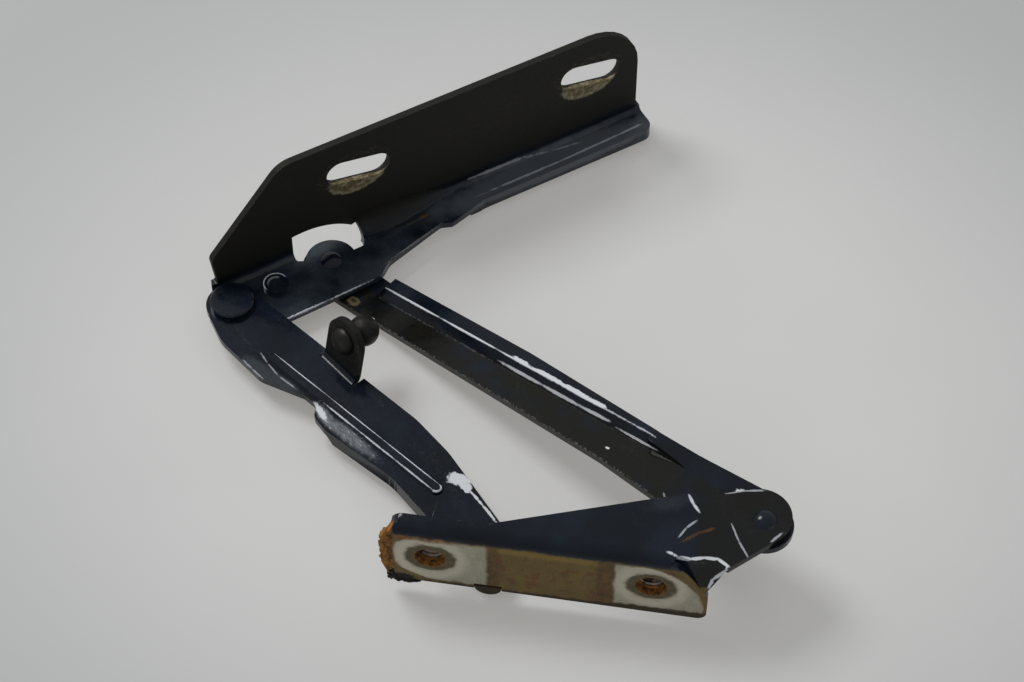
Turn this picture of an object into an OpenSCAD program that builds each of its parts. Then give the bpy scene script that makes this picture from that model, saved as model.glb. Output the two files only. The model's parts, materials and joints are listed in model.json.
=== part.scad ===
// Car bonnet hinge: a four-bar linkage of pressed steel sheet, held by riveted pivots.
// The base bracket bolts to the body. An arm and a link swing on it and carry the bonnet bracket.
// X runs along the base bolts, Y points back from the mounting face, Z lies along the pivots.
// The origin is midway between the base bolts, on the mounting face.

/* [Sheet] */
// Thickness of the pressed sheet
sheet = 3; // [2.5:0.1:3.5]
// Inside radius of the folds
fold_r = 2.5; // [1.5:0.5:4]
// Gap between sheets that turn on each other
slip = 0.2; // [0.1:0.05:0.3]

/* [Linkage] */
// Arm pivot on the base, along the bolt line
arm_pivot_x = -26; // [-30:1:-22]
// Arm pivot on the base, behind the mounting face
arm_pivot_y = 19; // [18:0.5:24]
// Link pivot on the base, along the bolt line
link_pivot_x = 83; // [78:1:90]
// Link pivot on the base, behind the mounting face
link_pivot_y = 27.5; // [24:0.5:32]
// Distance between the arm's pivots
arm_l = 158; // [150:1:170]
// Direction of the arm in plan, seen from the base
arm_dir = 140.5; // [136:0.5:144]
// Distance between the pivots on the bonnet bracket
bonnet_pivots = 48; // [44:1:54]
// Direction from the arm's to the link's pivot on the bonnet bracket
bonnet_pivot_dir = 41.6; // [38:0.2:46]
// Diameter of the rivet shanks
rivet_d = 6.5; // [5.5:0.5:8]
// Running clearance of a pivot, on the radius
pivot_fit = 0.05; // [0.03:0.01:0.08]
// Play of the link's eye on the bonnet bracket's rivet, on the radius
eye_play = 3.3; // [3.2:0.1:4]
// Gap between the link's eye and the bonnet bracket's web
eye_gap = 0.9; // [0.9:0.1:1.2]

/* [Base bracket] */
// Length of the mounting flange left of the origin
base_left = 62; // [58:1:70]
// Length of the mounting flange right of the origin
base_right = 65; // [62:1:70]
// Height of the mounting flange
base_h = 37; // [34:1:42]
// Distance between the bolt holes
hole_spacing = 86; // [80:1:92]
// Diameter of the bolt holes
hole_d = 12; // [10.5:0.5:13]
// Height of the bolt holes above the lower edge
hole_z = 18.5; // [17:0.5:21]
// Radius of the flange's right shoulder
shoulder_r = 20; // [12:1:24]
// How far the link's boss lies below the web
boss_drop = 4; // [2:0.5:6]
// Radius of the link's boss
boss_r = 12.5; // [11:0.5:15]
// Width of the ear under the arm
ear_w = 24; // [20:1:28]
// Across the flats of the weld nuts
nut_af = 16; // [14:1:18]
// Thread diameter of the weld nuts
nut_d = 10; // [8:1:10]
// Height of the weld nuts
nut_h = 8; // [6:0.5:10]

/* [Arm] */
// Radius of the arm's end on the base
arm_foot_r = 10.5; // [9:0.5:12]
// Radius of the arm's end on the bonnet bracket
arm_head_r = 11; // [10:0.5:13]
// Height of the bead pressed into the arm
bead_h = 1.5; // [1:0.25:2.5]
// Width of the bead
bead_w = 6; // [4:0.5:8]
// Depth of the turned-down left margin
lip_h = 4; // [2:0.5:5]
// Width of the tab that carries the ball stud
tab_w = 19.5; // [16:0.5:21]
// Angle at which the tab leans outwards
tab_lean = 12; // [6:1:16]
// Distance of the ball stud from the tab's fold
ball_rise = 14; // [12:0.5:18]
// Diameter of the ball
ball_d = 13; // [10:0.5:13]
// Distance of the ball from the tab
ball_reach = 7.5; // [7.5:0.5:10]

/* [Bonnet bracket] */
// Direction of the bonnet flange in plan
flange_dir = 38.2; // [34:0.2:42]
// Height of the bonnet flange
flange_h = 62; // [56:1:68]
// Length of the flange right of the link's pivot
flange_right = 157; // [150:1:165]
// Length of the flange left of the link's pivot
flange_left = 50; // [47:0.5:53]
// Distance of the flange behind the link's pivot
flange_back = 9.7; // [9:0.1:11]
// Length of the bolt slots
slot_l = 30; // [26:1:32]
// Width of the bolt slots
slot_w = 12.5; // [10:0.5:13]
// Distance between the slots
slot_spacing = 113; // [106:1:116]
// Tilt of the slots against the flange
slot_tilt = 13; // [0:1:16]
// Radius of the web's round tab in the window
window_tab_r = 11; // [10.5:0.5:12]
// Radius of the window's outer edge
window_r = 34; // [32:0.5:36]
// How far the gusset pressed into the fold reaches from the flange
gusset_reach = 9.4; // [7:0.2:10]
// Depth of the turned-down lip along the narrow strip
strip_lip = 3; // [2:0.5:4]
// Diameter of the stop button
button_d = 10.8; // [9:0.2:12]
// Height of the stop button
button_h = 3; // [2:0.25:3]

/* [Link] */
// Radius of the link's end on the bonnet bracket
link_eye_r = 12.5; // [12:0.5:14]
// Radius of the link's end on the base
link_foot_r = 11.5; // [10:0.5:12]
// Width of the link's floor, on the near side of the pivots
link_near = 12; // [10:0.5:14]
// Width of the link on the far side of the pivots
link_far = 9.5; // [8:0.5:11]
// Height of the link's far ledge above its floor
ledge_h = 5; // [3:0.5:6]

/* [Rivet heads] */
// Diameter of the domed heads
dome_d = 9.5; // [9:0.5:12]
// Height of the domed heads
dome_h = 2.4; // [2:0.2:3]
// Diameter of the flat disc head on the arm
disc_d = 18.5; // [16:0.5:20]
// Thickness of the flat disc head
disc_h = 3; // [2:0.25:4]
// Height of the heads underneath
tail_h = 2.5; // [2:0.25:3]
// Diameter of the heads underneath
tail_d = 12; // [11:0.5:14]

/* [Hidden] */
$fn = 64;
over = 1;              // how far a cutter runs past a face
tight_fit = 0.02;      // clearance of a riveted shank in the sheet that holds it
arc_steps = 8;         // straight pieces in a rounded corner
fold_lap = 3;          // angle by which a fold runs into its leaning wall
far_out = 400;         // larger than the whole hinge

paint = [0.09, 0.10, 0.12];
rusty = [0.42, 0.33, 0.20];
bare = [0.30, 0.31, 0.33];

fold_out = fold_r + sheet;

// Levels, counted up from the lower edge of the mounting flange
web_z = 0;                             // bonnet bracket's web, underside
arm_z = web_z + sheet + slip;          // arm, underside
ear_z = arm_z - slip - sheet;          // ear of the base bracket, underside
eye_z = web_z - eye_gap - sheet;       // link at the bonnet bracket, underside
top_web_z = base_h - sheet;            // base bracket's web, underside
boss_z = top_web_z - boss_drop;        // link's boss, underside
foot_z = boss_z - slip - sheet;        // link at the base, underside

// Pivots in plan
arm_pivot = [arm_pivot_x, arm_pivot_y];
link_pivot = [link_pivot_x, link_pivot_y];
head_pivot = arm_pivot + arm_l * [cos(arm_dir), sin(arm_dir)];
eye_pivot = head_pivot + bonnet_pivots * [cos(bonnet_pivot_dir), sin(bonnet_pivot_dir)];
link_run = link_pivot - eye_pivot;
link_l = norm(link_run);
link_dir = atan2(link_run[1], link_run[0]);

// Unit vector from one point to another in plan
function toward(a, b) = [b[0] - a[0], b[1] - a[1]] / norm([b[0] - a[0], b[1] - a[1]]);

// Arc of radius r that rounds the corner p between two directions
function corner_arc(p, a, b, r) =
    let (half = acos(max(-1, min(1, a * b))) / 2,
         centre = p + (a + b) / max(norm(a + b), 0.001) * r / sin(half),
         from = p + a * r / tan(half) - centre,
         to = p + b * r / tan(half) - centre,
         start = atan2(from[1], from[0]),
         sweep = (atan2(to[1], to[0]) - start + 540) % 360 - 180)
    [for (k = [0 : arc_steps])
        let (angle = start + sweep * k / arc_steps)
        centre + r * [cos(angle), sin(angle)]];

// Points of a polygon whose corners [x, y, radius] are rounded
function rounded(pts) = [
    for (i = [0 : len(pts) - 1])
        let (n = len(pts),
             p = [pts[i][0], pts[i][1]],
             a = toward(p, pts[(i + n - 1) % n]),
             b = toward(p, pts[(i + 1) % n]))
        each (pts[i][2] > 0 ? corner_arc(p, a, b, pts[i][2]) : [p])
];

// Drops the model so that the bolt holes lie at height zero
module at_hole_level() translate([0, 0, -hole_z]) children();

// Moves a shape to a pivot and turns its X axis to a direction in plan
module at_pivot(pivot, dir = 0) translate([pivot[0], pivot[1], 0]) rotate([0, 0, dir]) children();

// Extrudes a side view drawn in X and Z, from y0 to y1
module side_view(y0, y1) translate([0, y1, 0]) rotate([90, 0, 0]) linear_extrude(y1 - y0) children();

// Extrudes a cross-section drawn in Y and Z along X, from x0 to x1
module along_x(x0, x1) translate([x0, 0, 0]) rotate([90, 0, 90]) linear_extrude(x1 - x0) children();

// Extrudes a plan view from z0 to z1
module plan_view(z0, z1) translate([0, 0, z0]) linear_extrude(z1 - z0) children();

// Cross-section of a sheet folded up from a floor: the floor runs to +x, the wall to +y, leaning to -x
module folded_section(floor_l, wall_h, lean = 0) {
    from = max(0, lean - fold_lap);
    translate([fold_out, 0]) square([floor_l - fold_out, sheet]);
    translate([fold_out, fold_out]) {
        rotate(lean) translate([-fold_out, 0]) square([sheet, wall_h - fold_out]);
        intersection() {
            difference() {
                circle(fold_out);
                circle(fold_r);
            }
            polygon(2 * fold_out * [[0, 0], [-cos(from), -sin(from)], [-1, -1], [0, -1]]);
        }
    }
}

// Stadium-shaped hole outline, centred, along x
module slot_outline(l, w) {
    square([l - w, w], center = true);
    for (x = [-1, 1]) translate([x * (l - w) / 2, 0]) circle(d = w);
}

// Rivet with its axis on Z: shank from z0 to z1, a domed or flat head on top, a flat one underneath
module rivet(z0, z1, head_d, head_h, domed, foot_d) {
    shank_r = rivet_d / 2;
    crown_r = (head_d * head_d / 4 + head_h * head_h) / (2 * head_h);
    translate([0, 0, z0 - tail_h]) cylinder(d = foot_d, h = tail_h);
    translate([0, 0, z0]) cylinder(r = shank_r, h = z1 - z0);
    translate([0, 0, z1]) {
        if (domed) {
            intersection() {
                translate([0, 0, head_h - crown_r]) sphere(crown_r);
                cylinder(d = head_d, h = head_h);
            }
        } else {
            edge = head_h / 5;
            cylinder(d = head_d, h = head_h - edge);
            translate([0, 0, head_h - edge]) cylinder(d1 = head_d, d2 = head_d - 2 * edge, h = edge);
        }
    }
}

// Base bracket
web_slope = 19;                                       // angle of the web's back edge to the flange
boss_centre = link_pivot + [-2, 1.5];
boss_tangent = boss_centre + boss_r * [-sin(web_slope), cos(web_slope)];
boss_front = -48;                                     // where the front edge meets the boss
web_tip_x = boss_tangent[0] - boss_tangent[1] / tan(web_slope);
lip_back = 7;                                         // depth of the lip left of the web
nub_r = 5.5;                                          // crown of the ear's fold, under the lower edge
nub_depth = 2.5;
nub_x = arm_pivot_x + 5.5;

// The web drops to the boss in two slopes that start at a nose
joggle_x = base_right - 15;
nose = [base_right - 7.4, 25];
drop_lean = 29.4;                                     // crease behind the nose, against Y
drop_run = 11;                                        // length of the slope behind the nose
front_lean = -25.6;                                   // crease in front of the nose, against Y
front_run = 15.8;                                     // length of the slope in front of the nose

front_edge = [[0, 0], [2, 4.6], [8.5, 3.4], [15.5, 4.6], [21.5, 3.4]];   // in plan, from the joggle on
corner_z = 20;                                        // where the flange's right corner starts to lean back
corner_tilt = 16;
corner_over = 6.5;                                    // how far the corner reaches past the flange
nut_room = 3;                                         // step in the corner's edge beside the right nut

module base_outline() {
    polygon(rounded([
        [-base_left + 2, 1.5, 2], [base_right, 0, 4], [base_right, base_h - shoulder_r - 1, 12],
        [joggle_x + 2, base_h, shoulder_r], [-base_left + 6, base_h, 5], [-base_left - 0.5, base_h - 8, 3],
        [-base_left + 1.5, base_h - 15, 2], [-base_left - 0.5, 12, 3], [-base_left + 1.5, 6, 1]]));
    translate([nub_x, nub_r - nub_depth]) circle(nub_r);
}

module base_web_outline() {
    polygon(concat([[web_tip_x, 0]], [for (p = front_edge) p + [joggle_x, 0]],
                   [boss_centre + boss_r * [cos(boss_front), sin(boss_front)], boss_tangent]));
    translate(boss_centre) circle(boss_r);
    lip_end = web_tip_x + lip_back / tan(web_slope);
    translate([-base_left - over, 0]) square([base_left + over + lip_end, lip_back]);
}

module base_ear_outline() {
    translate([nub_x - nub_r, 0]) square([2 * nub_r, arm_pivot_y]);
    translate(arm_pivot) circle(d = ear_w);
}

// The mounting flange and the web folded back from its top edge
module base_fold() {
    intersection() {
        along_x(-base_left - over, joggle_x)
            translate([0, base_h]) mirror([0, 1]) folded_section(far_out, base_h + nub_depth);
        side_view(-over, far_out) union() {
            base_outline();
            translate([web_tip_x, base_h - fold_out]) square([joggle_x - web_tip_x, fold_out]);
        }
        plan_view(-far_out, far_out) union() {
            base_web_outline();
            translate([-base_left - over, 0]) square([base_left + base_right + 2 * over, sheet]);
        }
    }
    intersection() {
        translate([joggle_x, 0, -over]) cube([base_right, sheet, base_h]);
        side_view(-over, far_out) base_outline();
    }
}

// Everything below the top of the web and its drop
module drop_block() {
    translate([joggle_x, -over, -far_out]) cube([far_out, far_out, far_out + base_h - boss_drop]);
    intersection() {
        translate([joggle_x, -over, -far_out]) cube([far_out, far_out, far_out + base_h]);
        below_slope(drop_lean, drop_run);
        below_slope(front_lean, front_run);
    }
}

// Everything below a slope that falls away from a crease through the nose
module below_slope(lean, run) translate([nose[0], nose[1], base_h]) rotate([0, 0, lean])
    side_view(-far_out, far_out) polygon([
        [-far_out, 0], [0, 0], [2 * run, -2 * boss_drop], [2 * run, -far_out], [-far_out, -far_out]]);

// The end of the web that drops to the link's boss
module base_boss() intersection() {
    difference() {
        drop_block();
        translate([0, 0, -sheet]) drop_block();
    }
    plan_view(-over, base_h + over) base_web_outline();
}

// The flange's right corner, which leans back to the front edge of the drop
module base_corner() intersection() {
    drop_block();
    translate([0, 0, corner_z]) rotate([-corner_tilt, 0, 0]) side_view(0, sheet) polygon([
        [joggle_x + nut_room, 0], [base_right - 0.5, 0],
        [base_right + corner_over, base_h - boss_drop - corner_z], [base_right + corner_over, base_h],
        [joggle_x, base_h], [joggle_x, nut_af / 2 + nut_room], [joggle_x + nut_room, nut_af / 2]]);
}

// The ear folded back from the lower edge, on a neck
module base_ear() intersection() {
    union() {
        along_x(nub_x - nub_r, nub_x + nub_r) translate([0, ear_z]) folded_section(far_out, hole_z);
        translate([-far_out, fold_out, ear_z]) cube([2 * far_out, far_out, sheet]);
    }
    plan_view(ear_z - over, hole_z + over) base_ear_outline();
}

module base_bracket() color(rusty) at_hole_level() difference() {
    union() {
        difference() {
            base_fold();
            translate([nub_x - nub_r, -over, -nub_depth - over])
                cube([2 * nub_r, far_out, nub_depth + over + fold_out]);
        }
        base_boss();
        base_corner();
        base_ear();
        translate([nub_x, 0, nub_r - nub_depth]) rotate([-90, 0, 0]) difference() {
            cylinder(r = nub_r, h = sheet);
            translate([-nub_r, nub_r - nub_depth - fold_r - far_out, -over])
                cube([2 * nub_r, far_out, far_out]);
        }
    }
    for (side = [-1, 1])
        translate([side * hole_spacing / 2, -over, hole_z]) rotate([-90, 0, 0])
            cylinder(d = hole_d, h = sheet + 2 * over);
    at_pivot(arm_pivot) translate([0, 0, ear_z - over])
        cylinder(r = rivet_d / 2 + tight_fit, h = sheet + 2 * over);
    at_pivot(link_pivot) translate([0, 0, boss_z - over])
        cylinder(r = rivet_d / 2 + tight_fit, h = sheet + 2 * over);
}

module weld_nuts() color(rusty) at_hole_level()
    for (side = [-1, 1])
        translate([side * hole_spacing / 2, sheet, hole_z]) rotate([-90, 0, 0]) difference() {
            rotate([0, 0, 30]) cylinder(d = nut_af / cos(30), h = nut_h, $fn = 6);
            translate([0, 0, -over]) cylinder(d = nut_d, h = nut_h + 2 * over);
        }

// Arm, drawn from its head on the bonnet bracket towards its foot on the base
arm_turn = arm_dir + 180;
notch_u = 60;                     // place of the notch in the left edge
tab_u = 56;                       // place of the ball stud along the arm
tab_v = 15.5;                     // outer edge of the tab's fold
ball_neck_d = 7;
ball_collar_d = 10;
ball_collar_h = 1.6;
foot_over = 7;                    // how far the arm runs past its pivot on the base
lip_u = [notch_u + 14, arm_l - 18];
lip_taper = 6;

module arm_outline() {
    polygon(rounded([
        [0, arm_head_r, 4], [6, arm_head_r, 6], [28, 12.8, 30], [97, 18.8, 40], [118, 17.8, 40],
        [arm_l + foot_over, arm_foot_r - 1, 5], [arm_l + foot_over, -arm_foot_r, 6],
        [arm_l - 20, -9, 20], [112, -7.2, 30],
        [76, -12.4, 8], [notch_u + 8, -11.5, 4], [notch_u + 4, -7, 4], [notch_u - 3, -7.5, 4],
        [38, -15.5, 10], [12, -15.5, 20], [-4, -arm_head_r + 0.5, 4]]));
    circle(arm_head_r);
    translate([arm_l, 0]) circle(arm_foot_r);
}

// Bead with sloping sides, pressed up from below
module bead(l, w, h) {
    slope = h * 0.8;
    rotate([90, 0, 90]) linear_extrude(l)
        polygon([[-w / 2, 0], [w / 2, 0], [w / 2 - slope, h], [-w / 2 + slope, h]]);
    for (x = [0, l]) translate([x, 0, 0]) cylinder(d1 = w, d2 = w - 2 * slope, h = h);
}

// Places a shape on the tab: z = 0 is its outer face at the ball stud, -y points up along it
module at_stud() translate([tab_u, tab_v - fold_out, fold_out]) rotate([-90 - tab_lean, 0, 0])
    translate([0, -ball_rise, fold_out]) children();

module arm_tab() intersection() {
    translate([tab_u - tab_w / 2, tab_v, 0]) mirror([0, 1, 0])
        along_x(0, tab_w) folded_section(fold_out + over, far_out, tab_lean);
    at_stud() translate([0, 0, -far_out]) linear_extrude(2 * far_out) {
        circle(d = tab_w);
        translate([-tab_w / 2, 0]) square([tab_w, far_out]);
    }
}

module arm() color(paint) at_hole_level() at_pivot(head_pivot, arm_turn) translate([0, 0, arm_z])
    difference() {
        bead_start = [34, -5.5];
        bead_end = [128, 2.5];
        bead_run = bead_end - bead_start;
        bead_turn = atan2(bead_run[1], bead_run[0]);
        union() {
            difference() {
                linear_extrude(sheet) arm_outline();
                translate([tab_u - tab_w / 2 - over, tab_v - fold_out, -over])
                    cube([tab_w + 2 * over, far_out, sheet + 2 * over]);
            }
            translate([bead_start[0], bead_start[1], sheet]) rotate([0, 0, bead_turn])
                bead(norm(bead_run), bead_w, bead_h);
            arm_tab();
            intersection() {
                translate([0, 0, -lip_h]) linear_extrude(lip_h + sheet) difference() {
                    arm_outline();
                    translate([0, sheet]) arm_outline();
                }
                side_view(-far_out, -2) polygon([
                    [lip_u[0], sheet], [lip_u[0] + lip_taper, -lip_h],
                    [lip_u[1] - lip_taper, -lip_h], [lip_u[1], sheet]]);
            }
        }
        translate([bead_start[0], bead_start[1], -over]) rotate([0, 0, bead_turn])
            bead(norm(bead_run), bead_w - 2, bead_h + over);
        translate([0, 0, -over]) cylinder(r = rivet_d / 2 + tight_fit, h = sheet + 2 * over);
        translate([arm_l, 0, -over]) cylinder(r = rivet_d / 2 + pivot_fit, h = sheet + 2 * over);
        at_stud() translate([0, 0, -sheet - over])
            cylinder(d = ball_neck_d + 2 * tight_fit, h = sheet + 2 * over);
    }

module ball_stud() color(bare) at_hole_level() at_pivot(head_pivot, arm_turn) translate([0, 0, arm_z])
    at_stud() {
        translate([0, 0, -sheet]) cylinder(d = ball_neck_d, h = sheet + ball_reach);
        cylinder(d = ball_collar_d, h = ball_collar_h);
        translate([0, 0, ball_reach]) sphere(d = ball_d);
    }

// Bonnet bracket, drawn from the link's pivot: x along the flange, y towards its back
head_turn = bonnet_pivot_dir + 180 - flange_dir;
head_at = bonnet_pivots * [cos(head_turn), sin(head_turn)];
flange_face = flange_back;                       // front face of the flange
web_front = 19.2;                                // web's front edge, in front of the link's pivot
strip_front = 3.4;                               // front edge of the narrow strip
window_left = -13;
window_right = 16.8;
window_at = [-7.5, -18.2];                       // centre of the window's outer edge on the flange
gusset_profile = [[2, 0.1], [10, 0.6], [18, 0.9], [28, 1], [38, 0.92], [48, 0.74], [60, 0.4], [70, 0.1]];
strip_x = 66;                                    // where the strip's lip begins
slot_first = 20;                                 // first slot, right of the link's pivot
slot_z = 41;
button_at = head_at + [20.9, 1.1];
button_dish = 0.8;                               // depth of the hollow in the button's top

module bonnet_flange_outline() polygon(rounded([
    [-flange_left - 16, -over, 0], [flange_right + 2, -over, 0], [flange_right + 2, fold_out, 2],
    [flange_right, fold_out + 4, 2], [flange_right, flange_h - 2, 25], [-15, flange_h, 12],
    [-flange_left, 22, 5], [-flange_left + 1.6, fold_out + 1, 1], [-flange_left - 16, fold_out + 1, 0]]));

module bonnet_web_outline() {
    polygon(rounded([
        [-flange_left, flange_face + sheet + over, 0], [flange_right + 2, flange_face + sheet + over, 0],
        [flange_right + 2, -strip_front, 5], [73, -strip_front + 0.5, 10], [55, -strip_front - 4, 3],
        [50, -strip_front - 2, 3], [21, -web_front + 6, 10], [15, -web_front + 1, 12], [-32, -web_front, 8],
        [head_at[0] + 4, head_at[1] - 10, 4], [head_at[0] - 6, head_at[1] - 5, 2],
        [head_at[0] - 6, head_at[1] + 6, 2]]));
    translate(head_at) circle(arm_head_r - 1);
}

// Gap in plan between the web's tab and the flange
module window_gap() difference() {
    polygon(rounded([
        [window_left, far_out, 0], [window_right, far_out, 0], [window_right, 0.3, 2.2],
        [2, 0.3, 0], [0, 0, 0], [window_left, -window_left / 2, 1.5]]));
    circle(window_tab_r);
}

// Window through the fold, round the web's tab
module bonnet_window() {
    width = window_right - window_left;
    plan_view(-over, sheet + over / 2) window_gap();
    translate([window_left, flange_face - gusset_reach, sheet])
        cube([width, gusset_reach, gusset_reach + over]);
    side_view(flange_face - gusset_reach, flange_face + sheet + over) intersection() {
        translate(window_at) circle(window_r);
        translate([window_left, sheet]) square([width, far_out]);
    }
}

// Gusset pressed into the fold: a spindle along the corner, thinner by a margin
module gusset(margin) translate([0, flange_face, sheet]) rotate([90, 0, 90])
    rotate_extrude() polygon(concat(
        [for (p = gusset_profile) [max(0, p[1] * gusset_reach - margin), p[0]]],
        [[0, gusset_profile[len(gusset_profile) - 1][0]], [0, gusset_profile[0][0]]]));

module bonnet_bracket() color(paint) at_hole_level() at_pivot(eye_pivot, flange_dir) translate([0, 0, web_z])
    difference() {
        union() {
            difference() {
                union() {
                    intersection() {
                        translate([0, flange_face + sheet, 0]) rotate([0, 0, 180])
                            along_x(-far_out, far_out) folded_section(far_out, far_out);
                        side_view(-far_out, far_out) bonnet_flange_outline();
                        plan_view(-over, flange_h + over) bonnet_web_outline();
                    }
                    intersection() {
                        gusset(0);
                        translate([-far_out, flange_face + over - far_out, sheet - over])
                            cube([2 * far_out, far_out, far_out]);
                    }
                }
                gusset(sheet);
                bonnet_window();
            }
            cylinder(r = window_tab_r, h = sheet);
            intersection() {
                along_x(strip_x, far_out) translate([-strip_front, -strip_lip])
                    square([sheet, strip_lip + over]);
                plan_view(-strip_lip, sheet) bonnet_web_outline();
            }
            translate([button_at[0], button_at[1], sheet]) difference() {
                cylinder(d = button_d, h = button_h);
                translate([0, 0, button_h - button_dish]) cylinder(d = button_d - 4, h = button_dish + over);
            }
        }
        for (n = [0, 1])
            translate([slot_first + n * slot_spacing, flange_face - over, slot_z - 2 * n])
                rotate([-90, 0, 0]) rotate([0, 0, slot_tilt]) linear_extrude(sheet + 2 * over)
                    slot_outline(slot_l, slot_w);
        translate([0, 0, -over]) cylinder(r = rivet_d / 2 + tight_fit, h = sheet + 2 * over);
        translate([head_at[0], head_at[1], -over])
            cylinder(r = rivet_d / 2 + pivot_fit, h = sheet + 2 * over);
    }

// Link, drawn from its eye on the bonnet bracket towards its foot on the base
bend_a = 26;                                      // bend near the eye
bend_b = link_l - 38;                             // bend near the foot
link_rise = foot_z - eye_z;
link_slope = atan2(link_rise, bend_b - bend_a);
ramp_l = (bend_b - bend_a) / cos(link_slope);
ledge_ends = [4, 20];                             // lengths of the ledge's sloping ends, eye and foot
ledge_near = 1.8;                                 // where the floor turns up to the ledge
ledge_top = 4.6;                                  // where the ledge begins

module link_outline() {
    polygon(rounded([
        [0, link_far, 4], [104, link_far, 60], [link_l - 58, link_far - 3.2, 30],
        [link_l - 36, link_far - 0.5, 20], [link_l - 11, link_far + 3, 8], [link_l, link_foot_r, 4],
        [link_l, -link_foot_r, 6], [link_l - 30, -link_near - 6.8, 12], [link_l - 45, -link_near - 5.5, 20],
        [link_l - 70, -link_near - 3, 40], [bend_a + 10, -link_near + 1, 20], [0, -link_eye_r, 4]]));
    circle(link_eye_r);
    translate([link_l, 0]) circle(link_foot_r);
}

// The cranked strip, seen from the side
module link_side() {
    mitre = sheet * tan(link_slope / 2);
    polygon([[-link_eye_r, eye_z], [bend_a, eye_z], [bend_b, foot_z], [link_l + link_foot_r, foot_z],
             [link_l + link_foot_r, foot_z + sheet], [bend_b - mitre, foot_z + sheet],
             [bend_a - mitre, eye_z + sheet], [-link_eye_r, eye_z + sheet]]);
}

// The raised ledge along the far side of the ramp
module link_ledge() {
    intersection() {
        along_x(0, ramp_l) polygon([
            [ledge_near - 3, 0], [ledge_near, 0], [ledge_top, ledge_h], [far_out, ledge_h],
            [far_out, ledge_h + sheet], [ledge_top - 1.7, ledge_h + sheet], [ledge_near - 1.7, sheet],
            [ledge_near - 3, sheet]]);
        side_view(-far_out, far_out) polygon([
            [0, -over], [ramp_l, -over], [ramp_l, sheet], [ramp_l - ledge_ends[1], ledge_h + sheet],
            [ledge_ends[0], ledge_h + sheet], [0, sheet]]);
    }
    for (end = [0, 1]) translate([end * ramp_l, 0, 0]) mirror([end, 0, 0])
        side_view(ledge_near - 1, far_out) polygon([
            [0, 0], [ledge_ends[end], ledge_h], [ledge_ends[end], ledge_h + sheet], [0, sheet]]);
}

module link() color(paint) at_hole_level() at_pivot(eye_pivot, link_dir) difference() {
    union() {
        difference() {
            intersection() {
                side_view(-far_out, far_out) link_side();
                plan_view(-far_out, far_out) link_outline();
            }
            translate([bend_a, 0, eye_z]) rotate([0, -link_slope, 0])
                translate([0, ledge_near - 1.5, -over]) cube([ramp_l, far_out, far_out]);
        }
        intersection() {
            translate([bend_a, 0, eye_z]) rotate([0, -link_slope, 0]) link_ledge();
            plan_view(-far_out, far_out) link_outline();
        }
    }
    translate([0, 0, eye_z - over]) cylinder(r = rivet_d / 2 + eye_play, h = sheet + 2 * over);
    translate([link_l, 0, foot_z - over]) cylinder(r = rivet_d / 2 + pivot_fit, h = sheet + 2 * over);
}

// Rivets: each one is held by one sheet and the other sheet turns on it
module rivet_base_arm() color(bare) at_hole_level() at_pivot(arm_pivot)
    rivet(ear_z, arm_z + sheet, dome_d, dome_h, true, tail_d);

module rivet_base_link() color(bare) at_hole_level() at_pivot(link_pivot)
    rivet(foot_z, boss_z + sheet, dome_d, dome_h, true, tail_d);

module rivet_arm_bonnet() color(paint) at_hole_level() at_pivot(head_pivot)
    rivet(web_z, arm_z + sheet, disc_d, disc_h, false, tail_d);

module rivet_link_bonnet() color(bare) at_hole_level() at_pivot(eye_pivot)
    rivet(eye_z, web_z + sheet, dome_d, dome_h, true, rivet_d + 4 * eye_play + 1);

base_bracket();
weld_nuts();
arm();
ball_stud();
bonnet_bracket();
link();
rivet_base_arm();
rivet_base_link();
rivet_arm_bonnet();
rivet_link_bonnet();
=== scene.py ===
"""Looks of the car bonnet hinge: worn blue-black paint, rust, bare metal, floor, light and camera.

Places are in the part's own frame: X along the base bolts, Y back from the mounting face, Z up
along the pivots. Lengths are in millimetres, and become metres where they meet the scene. The
limits given for a noise are shares between 0 and 1.
"""
import json
import math

import bmesh
import bpy
from mathutils import Matrix, Vector, noise


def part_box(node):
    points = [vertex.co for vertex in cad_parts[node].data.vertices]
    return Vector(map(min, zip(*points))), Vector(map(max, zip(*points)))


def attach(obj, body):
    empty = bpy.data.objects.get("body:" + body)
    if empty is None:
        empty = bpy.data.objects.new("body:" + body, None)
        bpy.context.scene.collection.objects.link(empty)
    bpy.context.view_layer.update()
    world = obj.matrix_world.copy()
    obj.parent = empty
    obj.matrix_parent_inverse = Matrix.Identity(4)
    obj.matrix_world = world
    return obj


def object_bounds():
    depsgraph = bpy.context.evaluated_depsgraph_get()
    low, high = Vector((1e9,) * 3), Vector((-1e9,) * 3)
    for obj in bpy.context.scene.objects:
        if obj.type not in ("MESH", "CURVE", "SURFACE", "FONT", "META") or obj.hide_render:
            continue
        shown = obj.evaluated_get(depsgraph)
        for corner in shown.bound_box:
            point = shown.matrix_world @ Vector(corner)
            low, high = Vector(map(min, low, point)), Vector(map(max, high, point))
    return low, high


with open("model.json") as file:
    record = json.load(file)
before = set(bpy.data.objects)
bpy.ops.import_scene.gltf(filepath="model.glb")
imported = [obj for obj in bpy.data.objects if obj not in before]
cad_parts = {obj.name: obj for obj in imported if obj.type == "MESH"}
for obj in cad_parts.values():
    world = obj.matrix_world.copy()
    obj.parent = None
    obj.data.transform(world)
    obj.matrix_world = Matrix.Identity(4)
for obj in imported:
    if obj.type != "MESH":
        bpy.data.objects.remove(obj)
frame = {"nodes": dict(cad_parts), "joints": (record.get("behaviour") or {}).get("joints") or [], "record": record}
cad_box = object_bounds()

MM = 0.001
NODES = frame["nodes"]
JOINTS = {joint["name"]: joint for joint in frame["joints"]}
MOUNTS = frame["record"]["mounts"]

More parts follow.
